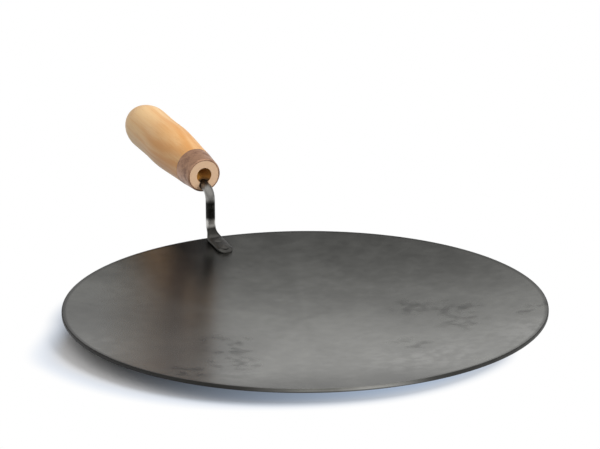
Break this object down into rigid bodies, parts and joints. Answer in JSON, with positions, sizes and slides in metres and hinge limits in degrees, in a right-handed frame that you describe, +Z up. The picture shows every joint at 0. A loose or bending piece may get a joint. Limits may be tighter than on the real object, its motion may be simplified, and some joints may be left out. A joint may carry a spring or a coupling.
{
  "type": "tawa",
  "caption": "Shallow round steel griddle pan for flatbreads, with a bent rod riveted inside its rim that carries a raised turned wooden grip in a steel ferrule.",
  "frame": {"origin": "centre of the flat on the pan's underside, on the surface that the pan stands on", "axes": "+Z up out of the dish, +Y out along the handle in plan, +X to the right seen from the pan towards the grip"},
  "size_m": [0.3, 0.4329, 0.0746],
  "materials": {
    "pan_steel": "dark blued carbon steel, seasoned, satin gloss with fine scratches",
    "rod_steel": "dark, smooth bent steel rod",
    "rivet_steel": "dark steel, hammered heads",
    "ferrule_steel": "dull browned steel",
    "grip_wood": "light turned wood under a thin varnish, scorched round the rod"
  },
  "bodies": {
    "root": {"pan": "pan_steel", "handle_rod": "rod_steel", "rivet_inner": "rivet_steel", "rivet_outer": "rivet_steel", "ferrule": "ferrule_steel", "wooden_grip": "grip_wood"}
  },
  "joints": []
}
